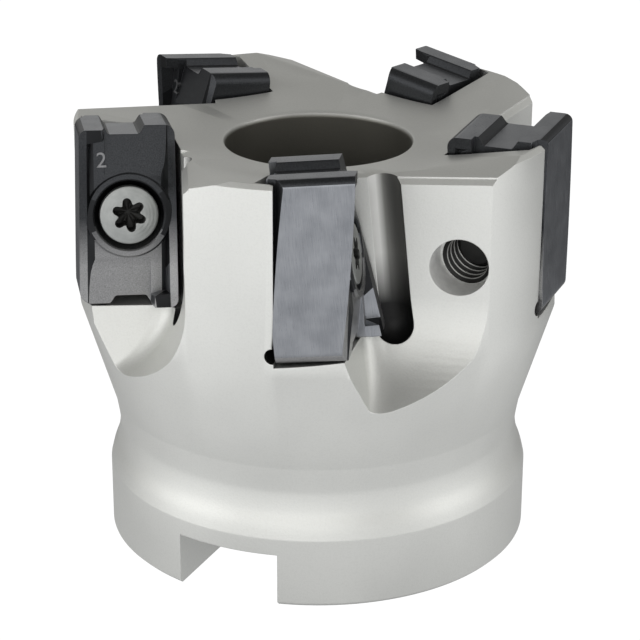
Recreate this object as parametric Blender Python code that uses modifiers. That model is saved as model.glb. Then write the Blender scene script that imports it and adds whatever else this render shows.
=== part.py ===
"""Shoulder face mill: one turned steel body, five clamped inserts and their five screws.

Metres, +Z up. The part stands on its arbor face at z = 0 with the cutting end up, and the
spindle axis is the Z axis. The mill turns counter-clockwise seen from above.

Each tooth has a frame of its own: x points outwards from the spindle axis, y points the way
the tooth cuts and z points up. An insert has a frame inside that one: x runs across its
width, y runs forwards through its thickness and z runs along its length.
"""

import math

import bmesh
import bpy
from mathutils import Matrix, Vector

MM = 0.001

# Whole mill, all sizes in millimetres and degrees.
TOOTH_COUNT = 5
FIRST_TOOTH_ANGLE = -96.07
GAP = 0.3
CUTTER_REACH = 10.0

# Turned body, from the arbor face upwards.
HUB_DIAMETER = 42.8
HUB_EDGE = 0.35
HUB_HEIGHT = 7.0
WAIST_DIAMETER = 40.7
WAIST_HEIGHT = 11.2
FLARE_BELOW_CROWN = 10.5
FLARE_ANGLE = 17.0
CROWN_DIAMETER = 47.9
CROWN_HEIGHT = 24.9
TOP_HEIGHT = 43.35
TOP_BEVEL = 0.45
DISH_RADIUS = 16.0
DISH_DROP = 1.6
DISH_ANGLE = 9.9
RIM_ROUND_WIDTH = 0.48
RIM_ROUND_DEPTH = 0.65
SCREW_RECESS_DIAMETER = 18.4
SCREW_RECESS_DEPTH = 11.0
WEB_THICKNESS = 8.5
WEB_HOLE_DIAMETER = 11.0
ARBOR_BORE_DIAMETER = 22.0
ARBOR_BORE_CHAMFER = 0.8
TURN_STEPS = 96

# Drive slot across the arbor face.
SLOT_WIDTH = 10.5
SLOT_DEPTH = 5.4
SLOT_ANGLE = -114.6

# Insert, and where it sits in its tooth.
INSERT_WIDTH = 9.3
INSERT_LENGTH = 17.4
INSERT_FLANK_RADIUS = 24.24
INSERT_FORWARD = 2.31
INSERT_BELOW_TOP = 8.1
INSERT_CENTRE_HEIGHT = TOP_HEIGHT - INSERT_BELOW_TOP
INSERT_TILT = 6.0
INSERT_TURN = -2.4
INSERT_LEAN = -1.5
EDGE_HEIGHT = 3.2
EDGE_SLOPE = 0.171
EDGE_BOW = 0.22
FACE_HEIGHT = 3.1
BACK_HEIGHT = 4.3
LAND_WIDTH = 0.75
LAND_DROP = 0.12
GROOVE_WIDTH = 1.05
GROOVE_DROP = 0.25
FACE_INSET = 1.45
NOSE_RADIUS = 0.76
INNER_CORNER_RADIUS = 1.1
OUTER_RIDGE_WIDTH = 2.5
INNER_RIDGE_WIDTH = 3.0
CHANNEL_DEPTH = 0.8
CHANNEL_SLOPE = 0.45
END_SLOPE_START = 4.1
END_SLOPE_ANGLE = 10.0
CORNER_WIDTH = 2.5
CORNER_LENGTH = 1.1
CORNER_STEP = 0.25
COLLAR_DIAMETER = 8.3

# Insert screw and the hole it runs in.
SCREW_OUT_OF_MIDDLE = 0.02
SCREW_ABOVE_MIDDLE = 0.56
SCREW_BEYOND_FACE = 0.19
SCREW_AXIS_RADIUS = INSERT_FLANK_RADIUS - INSERT_WIDTH / 2 + SCREW_OUT_OF_MIDDLE
SCREW_FORWARD = INSERT_FORWARD + FACE_HEIGHT + SCREW_BEYOND_FACE
SCREW_CENTRE_HEIGHT = INSERT_CENTRE_HEIGHT + SCREW_ABOVE_MIDDLE
SCREW_TILT = 8.6
SCREW_HEAD_DIAMETER = 5.7
SCREW_HEAD_SINK = 0.08
SCREW_HEAD_RIM = 0.6
SCREW_HEAD_CONE = 30.0
SCREW_SHANK_DIAMETER = 4.2
SCREW_CLEARANCE = 0.35
SCREW_LENGTH = 12.1
SOCKET_RADIUS = 1.32
SOCKET_LOBE = 0.3
SOCKET_DEPTH = 1.7
MOUTH_CLEARANCE = 0.5
EXIT_RECESS_DIAMETER = 5.45
EXIT_RECESS_START = 14.1

# Insert pocket and the slot in front of the insert's inner side.
POCKET_FRONT = 6.5
POCKET_LIP_WIDTH = 0.5
POCKET_LIP_RUN = 0.85
POCKET_LIP_DEPTH = 3.85
POCKET_LIP_SLOPE = 0.105
WALL_GROOVE_DIAMETER = 3.8
WALL_GROOVE_DEPTH = 0.71
WALL_GROOVE_FORWARD = 5.7
WALL_GROOVE_BELOW = 1.5
RELIEF_DIAMETER = 1.5
RELIEF_RISE = 0.8

# Chip gullet: a flat, a curved foot and a ramp that runs out through the flare.
GULLET_ANGLE = -7.6
GULLET_FLAT_DISTANCE = 13.68
GULLET_ARC_BELOW_TOP = 12.85
GULLET_ARC_START = TOP_HEIGHT - GULLET_ARC_BELOW_TOP
GULLET_ARC_RADIUS = 11.25
GULLET_RAMP_ANGLE = 62.0
GULLET_RAMP_DROP = 1.5
GULLET_SIDE_START = 8.0
GULLET_SIDE_BELOW_TOP = 16.95
GULLET_SIDE_HEIGHT = TOP_HEIGHT - GULLET_SIDE_BELOW_TOP
GULLET_SIDE_SLOPE = 0.35
GULLET_CORNER_RADIUS = 2.0

# Bevel on the heel of each tooth's top.
HEEL_BACK = 5.5
HEEL_INSET = 0.7
HEEL_SLOPE = 16.0
HEEL_LEAN = -0.75
HEEL_EDGE_BEVEL = 0.5


def clear_scene():
    for old in list(bpy.data.objects):
        bpy.data.objects.remove(old)


def make_collection(name):
    made = bpy.data.collections.new(name)
    bpy.context.scene.collection.children.link(made)
    return made


def make_material(name, colour, metallic, roughness):
    made = bpy.data.materials.new(name)
    made.use_nodes = True
    shader = made.node_tree.nodes["Principled BSDF"]
    shader.inputs["Base Color"].default_value = (*colour, 1.0)
    shader.inputs["Metallic"].default_value = metallic
    shader.inputs["Roughness"].default_value = roughness
    return made


def rotation(degrees, axis):
    return Matrix.Rotation(math.radians(degrees), 4, axis)


def millimetres(x, y, z):
    return Vector((x, y, z)) * MM


def tooth_frame(index):
    return rotation(FIRST_TOOTH_ANGLE + index * 360.0 / TOOTH_COUNT, "Z")


def insert_place(turn):
    centre = millimetres(INSERT_FLANK_RADIUS - INSERT_WIDTH / 2, INSERT_FORWARD, INSERT_CENTRE_HEIGHT)
    lean = rotation(INSERT_TILT, "X") @ rotation(INSERT_LEAN, "Y")
    return Matrix.Translation(centre) @ rotation(turn, "Z") @ lean


def insert_frame():
    return insert_place(INSERT_TURN)


def wall_frame():
    """The insert's frame before it is turned: the pocket's wall runs straight forwards."""
    return insert_place(0.0)


def screw_frame():
    """Origin at the middle of the head's face, +z out of the head along the screw's axis."""
    centre = millimetres(SCREW_AXIS_RADIUS, SCREW_FORWARD, SCREW_CENTRE_HEIGHT)
    return Matrix.Translation(centre) @ rotation(INSERT_TURN, "Z") @ rotation(SCREW_TILT - 90.0, "X")


def all_teeth(local):
    return [tooth_frame(index) @ local for index in range(TOOTH_COUNT)]


def mesh_object(name, bm, collection):
    mesh = bpy.data.meshes.new(name)
    bmesh.ops.recalc_face_normals(bm, faces=bm.faces)
    bm.to_mesh(mesh)
    bm.free()
    made = bpy.data.objects.new(name, mesh)
    collection.objects.link(made)
    return made


def as_cutter(cutter):
    cutter.hide_render = True
    cutter.display_type = "WIRE"
    return cutter


def combine(target, cutter, operation):
    change = target.modifiers.new(operation.lower() + "_" + cutter.name, "BOOLEAN")
    change.operation = operation
    change.object = cutter
    change.solver = "EXACT"


def add_prism(bm, outline, low, high, frame):
    """Outline points are (x, y); the prism runs along z from low to high."""
    ring = [bm.verts.new(frame @ millimetres(x, y, low)) for x, y in outline]
    base = bm.faces.new(ring)
    grown = bmesh.ops.extrude_face_region(bm, geom=[base])
    tops = [item for item in grown["geom"] if isinstance(item, bmesh.types.BMVert)]
    shift = frame.to_3x3() @ millimetres(0.0, 0.0, high - low)
    bmesh.ops.translate(bm, verts=tops, vec=shift)


def add_cylinder(bm, diameter, low, high, frame, segments=32):
    middle = Matrix.Translation(millimetres(0.0, 0.0, (low + high) / 2))
    bmesh.ops.create_cone(
        bm,
        cap_ends=True,
        segments=segments,
        radius1=diameter / 2 * MM,
        radius2=diameter / 2 * MM,
        depth=(high - low) * MM,
        matrix=frame @ middle,
    )


def add_loft(bm, rings):
    """Joins rings of matching points into one closed skin with flat ends."""
    made = [[bm.verts.new(point) for point in ring] for ring in rings]
    count = len(made[0])
    for lower, upper in zip(made, made[1:]):
        for index in range(count):
            after = (index + 1) % count
            bm.faces.new((lower[index], lower[after], upper[after], upper[index]))
    bm.faces.new(made[0])
    bm.faces.new(made[-1])
    bmesh.ops.triangulate(bm, faces=bm.faces)


def turned_object(name, profile, steps, collection):
    """Profile points are (radius, height), down the outer side; it is turned about z."""
    bm = bmesh.new()
    points = [bm.verts.new(millimetres(radius, 0.0, height)) for radius, height in profile]
    closed = min(radius for radius, height in profile) > 0.0
    pairs = list(zip(points, points[1:]))
    if closed:
        pairs.append((points[-1], points[0]))
    for first, second in pairs:
        bm.edges.new((first, second))
    mesh = bpy.data.meshes.new(name)
    bm.to_mesh(mesh)
    bm.free()
    made = bpy.data.objects.new(name, mesh)
    collection.objects.link(made)
    turn = made.modifiers.new("turn", "SCREW")
    turn.steps = steps
    turn.render_steps = steps
    turn.use_merge_vertices = True
    turn.merge_threshold = 0.00001
    turn.use_smooth_shade = True
    return made


def arc(centre_x, centre_y, radius, start, end, count):
    points = []
    for index in range(count + 1):
        angle = math.radians(start + (end - start) * index / count)
        points.append((centre_x + radius * math.cos(angle), centre_y + radius * math.sin(angle)))
    return points


def curve_through(points, count):
    """Rounds a profile: a smooth run of points through the given ones."""
    smooth = []
    padded = [points[0]] + points + [points[-1]]
    for a, b, c, d in zip(padded, padded[1:], padded[2:], padded[3:]):
        for index in range(count):
            t = index / count
            smooth.append(tuple(
                b[i] + 0.5 * t * (c[i] - a[i] + t * (2 * a[i] - 5 * b[i] + 4 * c[i] - d[i]
                                  + t * (3 * (b[i] - c[i]) + d[i] - a[i])))
                for i in (0, 1)
            ))
    smooth.append(points[-1])
    return smooth


def flare_radius(height):
    return CROWN_DIAMETER / 2 - (CROWN_HEIGHT - height) * math.tan(math.radians(FLARE_ANGLE))


def dish_rim_height():
    fall = (DISH_RADIUS - SCREW_RECESS_DIAMETER / 2 - RIM_ROUND_WIDTH) * math.tan(math.radians(DISH_ANGLE))
    return TOP_HEIGHT - DISH_DROP - fall


def body_profile():
    hub = HUB_DIAMETER / 2
    waist = WAIST_DIAMETER / 2
    crown = CROWN_DIAMETER / 2
    bore = ARBOR_BORE_DIAMETER / 2
    recess = SCREW_RECESS_DIAMETER / 2
    rim = dish_rim_height()
    web_top = rim - SCREW_RECESS_DEPTH
    web_bottom = web_top - WEB_THICKNESS
    flare = CROWN_HEIGHT - FLARE_BELOW_CROWN
    neck = curve_through(
        [
            (flare_radius(flare), flare),
            (waist + 0.05, WAIST_HEIGHT + 1.1),
            (waist, WAIST_HEIGHT),
            (waist + 0.25, (WAIST_HEIGHT + HUB_HEIGHT) / 2 + 0.5),
            (hub - 0.3, HUB_HEIGHT + 1.2),
            (hub, HUB_HEIGHT),
        ],
        2,
    )
    outside = [(crown - TOP_BEVEL, TOP_HEIGHT), (crown, TOP_HEIGHT - TOP_BEVEL), (crown, CROWN_HEIGHT)]
    outside += neck
    outside += [(hub, HUB_EDGE), (hub - HUB_EDGE, 0.0)]
    inside = [
        (bore + ARBOR_BORE_CHAMFER, 0.0),
        (bore, ARBOR_BORE_CHAMFER),
        (bore, web_bottom),
        (WEB_HOLE_DIAMETER / 2, web_bottom),
        (WEB_HOLE_DIAMETER / 2, web_top),
        (recess, web_top),
        (recess, rim - RIM_ROUND_DEPTH),
        (recess + 0.3 * RIM_ROUND_WIDTH, rim - 0.3 * RIM_ROUND_DEPTH),
        (recess + RIM_ROUND_WIDTH, rim),
        (DISH_RADIUS, TOP_HEIGHT - DISH_DROP),
    ]
    return outside + inside


def slot_cutter(collection):
    bm = bmesh.new()
    long_side = HUB_DIAMETER + 10.0
    height = 2 * SLOT_DEPTH
    size = Matrix.Diagonal((long_side * MM, SLOT_WIDTH * MM, height * MM, 1.0))
    bmesh.ops.create_cube(bm, size=1.0, matrix=rotation(SLOT_ANGLE, "Z") @ size)
    return as_cutter(mesh_object("slot_cutter", bm, collection))


def pocket_ring(along, frame):
    """The pocket across the insert: seat, bevelled outer lip, and the wall inside the insert."""
    half = INSERT_WIDTH / 2
    turn = math.tan(math.radians(INSERT_TURN))
    inner = -half - GAP + turn * BACK_HEIGHT
    seat = -BACK_HEIGHT - GAP
    lip = POCKET_LIP_SLOPE * along - POCKET_LIP_DEPTH
    lip_end = half - POCKET_LIP_WIDTH
    seat_end = lip_end - POCKET_LIP_RUN
    outline = [
        (INSERT_WIDTH, lip),
        (lip_end, lip),
        (seat_end, seat + turn * seat_end),
        (inner, seat + turn * inner),
        (inner, POCKET_FRONT),
        (INSERT_WIDTH, POCKET_FRONT),
    ]
    return [frame @ millimetres(x, y, along) for x, y in outline]


def pocket_cutter(collection):
    bm = bmesh.new()
    for frame in all_teeth(wall_frame()):
        floor = -INSERT_LENGTH / 2 - GAP
        add_loft(bm, [pocket_ring(along, frame) for along in (floor, INSERT_LENGTH)])
    return as_cutter(mesh_object("pocket_cutter", bm, collection))


def wall_groove_cutter(collection):
    """Round-ended groove along the pocket's wall, where a ball-nosed cutter cleared the corner."""
    bm = bmesh.new()
    radius = WALL_GROOVE_DIAMETER / 2
    across = radius - INSERT_WIDTH / 2 - GAP - WALL_GROOVE_DEPTH
    foot = -INSERT_LENGTH / 2 - WALL_GROOVE_BELOW
    tilts = (20.0, 55.0, 90.0)
    levels = []
    for tilt in tilts:
        rise = 1.0 - math.cos(math.radians(tilt))
        levels.append((foot + radius * rise, radius * math.sin(math.radians(tilt))))
    levels.append((INSERT_LENGTH, radius))
    for frame in all_teeth(wall_frame()):
        rings = []
        for along, reach in levels:
            circle = arc(across, WALL_GROOVE_FORWARD, reach, 0.0, 360.0, 20)[:-1]
            rings.append([frame @ millimetres(x, y, along) for x, y in circle])
        add_loft(bm, rings)
    return as_cutter(mesh_object("wall_groove_cutter", bm, collection))


def relief_cutter(collection):
    """Round relief along the corner between the pocket's seat and its floor."""
    bm = bmesh.new()
    centre = millimetres(0.0, -BACK_HEIGHT - GAP, RELIEF_RISE - INSERT_LENGTH / 2)
    local = insert_frame() @ Matrix.Translation(centre) @ rotation(90.0, "Y")
    for frame in all_teeth(local):
        add_cylinder(bm, RELIEF_DIAMETER, -INSERT_WIDTH / 2, INSERT_WIDTH, frame, 20)
    return as_cutter(mesh_object("relief_cutter", bm, collection))


def gullet_floor(height):
    """Distance of the gullet's floor from the spindle axis, along the flat's normal."""
    ramp = math.radians(GULLET_RAMP_ANGLE)
    below = GULLET_ARC_START - height
    if below <= 0.0:
        return GULLET_FLAT_DISTANCE
    foot = GULLET_ARC_RADIUS * math.sin(ramp)
    if below < foot:
        return GULLET_FLAT_DISTANCE + GULLET_ARC_RADIUS - math.sqrt(GULLET_ARC_RADIUS**2 - below**2)
    reach = GULLET_ARC_RADIUS * (1.0 - math.cos(ramp)) + (below - foot) * math.tan(ramp)
    return GULLET_FLAT_DISTANCE + reach


def gullet_ring(height, far, frame):
    """Level section of the gullet: x runs out along the flat's normal, y runs along the flat."""
    floor = gullet_floor(height)
    side = GULLET_SIDE_START + GULLET_SIDE_SLOPE * max(0.0, GULLET_SIDE_HEIGHT - height)
    radius = GULLET_CORNER_RADIUS
    outline = [(far, far), (floor, far)]
    outline += arc(floor + radius, side + radius, radius, 180.0, 270.0, 6)
    outline.append((far, side))
    return [frame @ millimetres(x, y, height) for x, y in outline]


def gullet_cutter(collection):
    bm = bmesh.new()
    foot = GULLET_ARC_RADIUS * math.sin(math.radians(GULLET_RAMP_ANGLE))
    heights = [GULLET_ARC_START - foot - GULLET_RAMP_DROP]
    heights += [GULLET_ARC_START - foot * step / 7 for step in range(7, -1, -1)]
    heights += [GULLET_SIDE_HEIGHT, TOP_HEIGHT + CUTTER_REACH]
    far = CROWN_DIAMETER / 2 + CUTTER_REACH
    for frame in all_teeth(rotation(GULLET_ANGLE, "Z")):
        add_loft(bm, [gullet_ring(height, far, frame) for height in sorted(set(heights))])
    return as_cutter(mesh_object("gullet_cutter", bm, collection))


def heel_plane():
    """The plane of the heel's bevel: its z axis stands square on the bevel."""
    start = Matrix.Translation(millimetres(CROWN_DIAMETER / 2 - HEEL_INSET, -HEEL_BACK, TOP_HEIGHT))
    return start @ rotation(HEEL_SLOPE, "X") @ rotation(HEEL_LEAN, "Y")


def heel_cutter(collection):
    bm = bmesh.new()
    reach = CUTTER_REACH * MM
    size = Matrix.Diagonal((3 * reach, reach, reach, 1.0))
    box = Matrix.Translation((0.0, -reach / 2, reach / 2)) @ size
    for frame in all_teeth(heel_plane() @ box):
        bmesh.ops.create_cube(bm, size=1.0, matrix=frame)
    return as_cutter(mesh_object("heel_cutter", bm, collection))


def flat_edge_point(along):
    """Point of the flat's top edge in the tooth's frame, where the next tooth's heel ends."""
    flat = rotation(GULLET_ANGLE, "Z")
    point = flat @ millimetres(GULLET_FLAT_DISTANCE, along, 0.0)
    plane = rotation(360.0 / TOOTH_COUNT, "Z") @ heel_plane()
    upright = plane.to_3x3() @ Vector((0.0, 0.0, 1.0))
    away = plane.translation - point
    point.z = upright.dot(away) / upright.z
    return point


def edge_bevel_cutter(collection):
    """Bevels the edge between each gullet's flat and the heel above it."""
    bm = bmesh.new()
    first = flat_edge_point(GULLET_SIDE_START + GULLET_CORNER_RADIUS / 2)
    last = flat_edge_point(CROWN_DIAMETER / 2)
    along = (last - first).normalized()
    outward = (rotation(GULLET_ANGLE, "Z") @ Vector((1.0, 0.0, 0.0))).normalized()
    upward = outward.cross(along).normalized()
    reach = 2 * HEEL_EDGE_BEVEL * MM
    leg = HEEL_EDGE_BEVEL * MM
    ring = [
        -leg * outward,
        reach * upward - leg * outward,
        reach * upward + reach * outward,
        reach * outward - leg * upward,
        -leg * upward,
    ]
    for frame in all_teeth(Matrix.Identity(4)):
        add_loft(bm, [[frame @ (end + offset) for offset in ring] for end in (first, last)])
    return as_cutter(mesh_object("edge_bevel_cutter", bm, collection))


def thread_hole_cutter(collection):
    bm = bmesh.new()
    hole = SCREW_SHANK_DIAMETER + 2 * SCREW_CLEARANCE
    beyond = CROWN_DIAMETER / 2 + CUTTER_REACH
    for frame in all_teeth(screw_frame()):
        add_cylinder(bm, hole, -beyond, 0.0, frame, 28)
    return as_cutter(mesh_object("thread_hole_cutter", bm, collection))


def exit_recess_cutter(collection):
    bm = bmesh.new()
    beyond = CROWN_DIAMETER / 2 + CUTTER_REACH
    for frame in all_teeth(screw_frame()):
        add_cylinder(bm, EXIT_RECESS_DIAMETER, -beyond, -EXIT_RECESS_START, frame, 32)
    return as_cutter(mesh_object("exit_recess_cutter", bm, collection))


def build_body(parts, cutters, steel):
    body = turned_object("cutter_body", body_profile(), TURN_STEPS, parts)
    body.data.materials.append(steel)
    for make in (
        heel_cutter,
        gullet_cutter,
        edge_bevel_cutter,
        pocket_cutter,
        wall_groove_cutter,
        relief_cutter,
        thread_hole_cutter,
        exit_recess_cutter,
        slot_cutter,
    ):
        combine(body, make(cutters), "DIFFERENCE")
    return body


def rake_side(along, face):
    """One long side of a face of the insert as (inset, height): edge, land, groove, face."""
    lead = 0.5 + along / INSERT_LENGTH
    bow = EDGE_BOW * (1.0 - (2 * along / INSERT_LENGTH) ** 2)
    edge = EDGE_HEIGHT + EDGE_SLOPE * along + bow
    land = edge - LAND_DROP * lead + (face - edge) / 3 * (1.0 - lead)
    groove = (face - GROOVE_DROP) * lead + (edge + 2 * face) / 3 * (1.0 - lead)
    if along > INSERT_LENGTH / 2 - CORNER_LENGTH - CORNER_STEP / 2:
        return [(0.0, edge), (LAND_WIDTH, land), (CORNER_WIDTH - CORNER_STEP, land), (CORNER_WIDTH, face)]
    return [(0.0, edge), (LAND_WIDTH, land), (GROOVE_WIDTH, groove), (FACE_INSET, face)]


def insert_section(along):
    """Outline of the insert across its length; the back is clipped flat so that it can seat."""
    half = INSERT_WIDTH / 2
    front = rake_side(along, FACE_HEIGHT)
    front_inner = rake_side(-along, FACE_HEIGHT)
    back_inner = [(inset, min(height, BACK_HEIGHT)) for inset, height in rake_side(along, BACK_HEIGHT)]
    back = [(inset, min(height, BACK_HEIGHT)) for inset, height in rake_side(-along, BACK_HEIGHT)]
    outline = [(half - inset, height) for inset, height in front]
    outline += [(inset - half, height) for inset, height in reversed(front_inner)]
    outline += [(inset - half, -height) for inset, height in back_inner]
    outline += [(half - inset, -height) for inset, height in reversed(back)]
    return [millimetres(x, y, along) for x, y in outline]


def insert_end():
    """One end of the insert seen along its thickness, from the outer flank inwards."""
    half = INSERT_WIDTH / 2
    end = INSERT_LENGTH / 2
    outer_step = half - OUTER_RIDGE_WIDTH
    inner_step = INNER_RIDGE_WIDTH - half
    points = arc(half - NOSE_RADIUS, end - NOSE_RADIUS, NOSE_RADIUS, 0.0, 90.0, 5)
    points += [(outer_step, end), (outer_step - CHANNEL_SLOPE, end - CHANNEL_DEPTH)]
    points += [(inner_step + CHANNEL_SLOPE, end - CHANNEL_DEPTH), (inner_step, end)]
    points += arc(INNER_CORNER_RADIUS - half, end - INNER_CORNER_RADIUS, INNER_CORNER_RADIUS, 90.0, 180.0, 5)
    return points


def end_slopes(cutters):
    """Wedges that slope both faces back to the ends, except along each cutting corner."""
    bm = bmesh.new()
    run = INSERT_LENGTH / 2
    fall = run * math.tan(math.radians(END_SLOPE_ANGLE))
    across = Matrix(((0, 0, 1, 0), (0, 1, 0, 0), (1, 0, 0, 0), (0, 0, 0, 1)))
    turns = (
        (Matrix.Identity(4), FACE_HEIGHT),
        (rotation(180.0, "Y"), FACE_HEIGHT),
        (rotation(180.0, "X"), BACK_HEIGHT),
        (rotation(180.0, "Z"), BACK_HEIGHT),
    )
    for turn, face in turns:
        above = face + CUTTER_REACH
        outline = [
            (END_SLOPE_START, face),
            (END_SLOPE_START + run, face - fall),
            (END_SLOPE_START + run, above),
            (END_SLOPE_START, above),
        ]
        add_prism(bm, outline, -INSERT_WIDTH, INSERT_WIDTH / 2 - CORNER_WIDTH, turn @ across)
    return as_cutter(mesh_object("insert_end_slopes", bm, cutters))


def insert_tools(cutters):
    """The outline, collar and screw hole that every insert is finished with."""
    bm = bmesh.new()
    end = insert_end()
    outline = end + [(-x, -y) for x, y in end]
    upright = Matrix.Diagonal((1.0, -1.0, 1.0, 1.0)) @ rotation(90.0, "X")
    add_prism(bm, outline, -2 * FACE_HEIGHT, 2 * FACE_HEIGHT, upright)
    profile = as_cutter(mesh_object("insert_profile", bm, cutters))

    across = insert_frame().inverted() @ screw_frame()
    bm = bmesh.new()
    add_cylinder(bm, COLLAR_DIAMETER, -FACE_HEIGHT, SCREW_HEAD_SINK, across, 40)
    collar = as_cutter(mesh_object("insert_collar", bm, cutters))

    shank = SCREW_SHANK_DIAMETER / 2 + SCREW_CLEARANCE
    mouth = SCREW_HEAD_DIAMETER / 2 + MOUTH_CLEARANCE
    bottom = -SCREW_HEAD_RIM + 0.1
    cone = (mouth - shank) / math.tan(math.radians(SCREW_HEAD_CONE))
    above = CUTTER_REACH
    below = -FACE_HEIGHT - BACK_HEIGHT - CUTTER_REACH
    hole_profile = [(0.0, above), (mouth, above), (mouth, bottom), (shank, bottom - cone)]
    hole_profile += [(shank, below), (0.0, below)]
    hole = as_cutter(turned_object("insert_hole", hole_profile, 28, cutters))
    hole.matrix_world = across
    return profile, collar, hole


def screw_profile():
    head = SCREW_HEAD_DIAMETER / 2
    shank = SCREW_SHANK_DIAMETER / 2
    cone = (head - shank) / math.tan(math.radians(SCREW_HEAD_CONE))
    return [
        (0.0, 0.0),
        (head - 0.15, 0.0),
        (head, -0.15),
        (head, -SCREW_HEAD_RIM),
        (shank, -SCREW_HEAD_RIM - cone),
        (shank, -SCREW_LENGTH + 0.5),
        (shank - 0.5, -SCREW_LENGTH),
        (0.0, -SCREW_LENGTH),
    ]


def socket_tool(cutters):
    """Six-lobed socket in the head of the screw."""
    outline = []
    for step in range(36):
        angle = 2 * math.pi * step / 36
        radius = SOCKET_RADIUS + SOCKET_LOBE * math.cos(6 * angle)
        outline.append((radius * math.cos(angle), radius * math.sin(angle)))
    bm = bmesh.new()
    add_prism(bm, outline, -SOCKET_DEPTH, 1.0, Matrix.Identity(4))
    return as_cutter(mesh_object("socket_tool", bm, cutters))


def evaluated_copy(source, name, collection):
    """A plain mesh object with the source's modifiers worked in."""
    graph = bpy.context.evaluated_depsgraph_get()
    mesh = bpy.data.meshes.new_from_object(source.evaluated_get(graph))
    mesh.name = name
    made = bpy.data.objects.new(name, mesh)
    collection.objects.link(made)
    return made


def build_inserts(parts, cutters, carbide):
    profile, collar, hole = insert_tools(cutters)
    bm = bmesh.new()
    pad = INSERT_LENGTH / 2 - CORNER_LENGTH
    middle = [(pad - CORNER_STEP) * step / 2 for step in range(-2, 3)]
    stations = [-INSERT_LENGTH, -pad] + middle + [pad, INSERT_LENGTH]
    add_loft(bm, [insert_section(along) for along in stations])
    blank = mesh_object("insert_blank", bm, cutters)
    as_cutter(blank)
    blank.data.materials.append(carbide)
    combine(blank, profile, "INTERSECT")
    combine(blank, end_slopes(cutters), "DIFFERENCE")
    combine(blank, collar, "UNION")
    combine(blank, hole, "DIFFERENCE")
    first = None
    for index in range(TOOTH_COUNT):
        name = "insert_%d" % (index + 1)
        if first is None:
            insert = evaluated_copy(blank, name, parts)
            first = insert
        else:
            insert = bpy.data.objects.new(name, first.data)
            parts.objects.link(insert)
        insert.matrix_world = tooth_frame(index) @ insert_frame()


def build_screws(parts, cutters, steel):
    socket = socket_tool(cutters)
    blank = as_cutter(turned_object("screw_blank", screw_profile(), 28, cutters))
    blank.data.materials.append(steel)
    combine(blank, socket, "DIFFERENCE")
    first = None
    for index in range(TOOTH_COUNT):
        name = "insert_screw_%d" % (index + 1)
        if first is None:
            screw = evaluated_copy(blank, name, parts)
            first = screw
        else:
            screw = bpy.data.objects.new(name, first.data)
            parts.objects.link(screw)
        screw.matrix_world = tooth_frame(index) @ screw_frame()


def shade(parts):
    for item in parts.objects:
        item.data.shade_smooth()
        item.data.set_sharp_from_angle(angle=math.radians(30.0))


def main():
    clear_scene()
    parts = make_collection("face_mill")
    cutters = make_collection("face_mill_cutters")
    nickel = make_material("nickel_steel", (0.57, 0.56, 0.53), 1.0, 0.38)
    carbide = make_material("coated_carbide", (0.075, 0.08, 0.09), 0.6, 0.4)
    screw_steel = make_material("screw_steel", (0.40, 0.40, 0.38), 1.0, 0.35)
    build_body(parts, cutters, nickel)
    build_inserts(parts, cutters, carbide)
    build_screws(parts, cutters, screw_steel)
    shade(parts)


main()
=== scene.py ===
"""Shoulder face mill, as seen on a plain white ground: finished surfaces over the CAD frame."""

import math

import bmesh
import bpy
from mathutils import Matrix, Vector

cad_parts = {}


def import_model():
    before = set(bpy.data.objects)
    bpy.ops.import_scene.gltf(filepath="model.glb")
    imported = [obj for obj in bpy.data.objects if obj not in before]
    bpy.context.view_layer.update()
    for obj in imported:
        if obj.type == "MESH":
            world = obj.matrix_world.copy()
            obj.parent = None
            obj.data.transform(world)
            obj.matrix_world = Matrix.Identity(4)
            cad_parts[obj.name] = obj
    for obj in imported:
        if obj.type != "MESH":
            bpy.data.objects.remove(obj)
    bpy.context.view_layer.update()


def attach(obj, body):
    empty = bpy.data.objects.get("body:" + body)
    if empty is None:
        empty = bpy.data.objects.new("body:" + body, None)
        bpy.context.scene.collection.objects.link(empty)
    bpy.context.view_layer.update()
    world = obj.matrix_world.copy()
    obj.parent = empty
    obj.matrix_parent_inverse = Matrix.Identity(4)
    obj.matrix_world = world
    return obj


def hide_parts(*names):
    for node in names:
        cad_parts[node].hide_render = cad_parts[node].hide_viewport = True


MM = 0.001

# Whole mill, all sizes in millimetres and degrees.
TOOTH_COUNT = 5
FIRST_TOOTH_ANGLE = -96.07
GAP = 0.3
CUTTER_REACH = 10.0

# Turned body, from the arbor face upwards.
HUB_DIAMETER = 42.8
HUB_EDGE = 0.35
HUB_HEIGHT = 7.0
WAIST_DIAMETER = 40.7
WAIST_HEIGHT = 11.2
FLARE_BELOW_CROWN = 10.5
FLARE_ANGLE = 17.0
CROWN_DIAMETER = 47.9
CROWN_HEIGHT = 24.9
TOP_HEIGHT = 43.35
TOP_BEVEL = 0.45
DISH_RADIUS = 16.0
DISH_DROP = 1.6
DISH_ANGLE = 9.9
RIM_ROUND_WIDTH = 0.48
RIM_ROUND_DEPTH = 0.65
SCREW_RECESS_DIAMETER = 18.4
SCREW_RECESS_DEPTH = 11.0
WEB_THICKNESS = 8.5
WEB_HOLE_DIAMETER = 11.0
ARBOR_BORE_DIAMETER = 22.0
ARBOR_BORE_CHAMFER = 0.8
NECK_STEPS = 6
TURN_STEPS = 240
SMALL_TURN_STEPS = 96
CYLINDER_STEPS = 64

# Drive slot across the arbor face.
SLOT_WIDTH = 10.5
SLOT_DEPTH = 5.4
SLOT_ANGLE = -114.6

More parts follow.
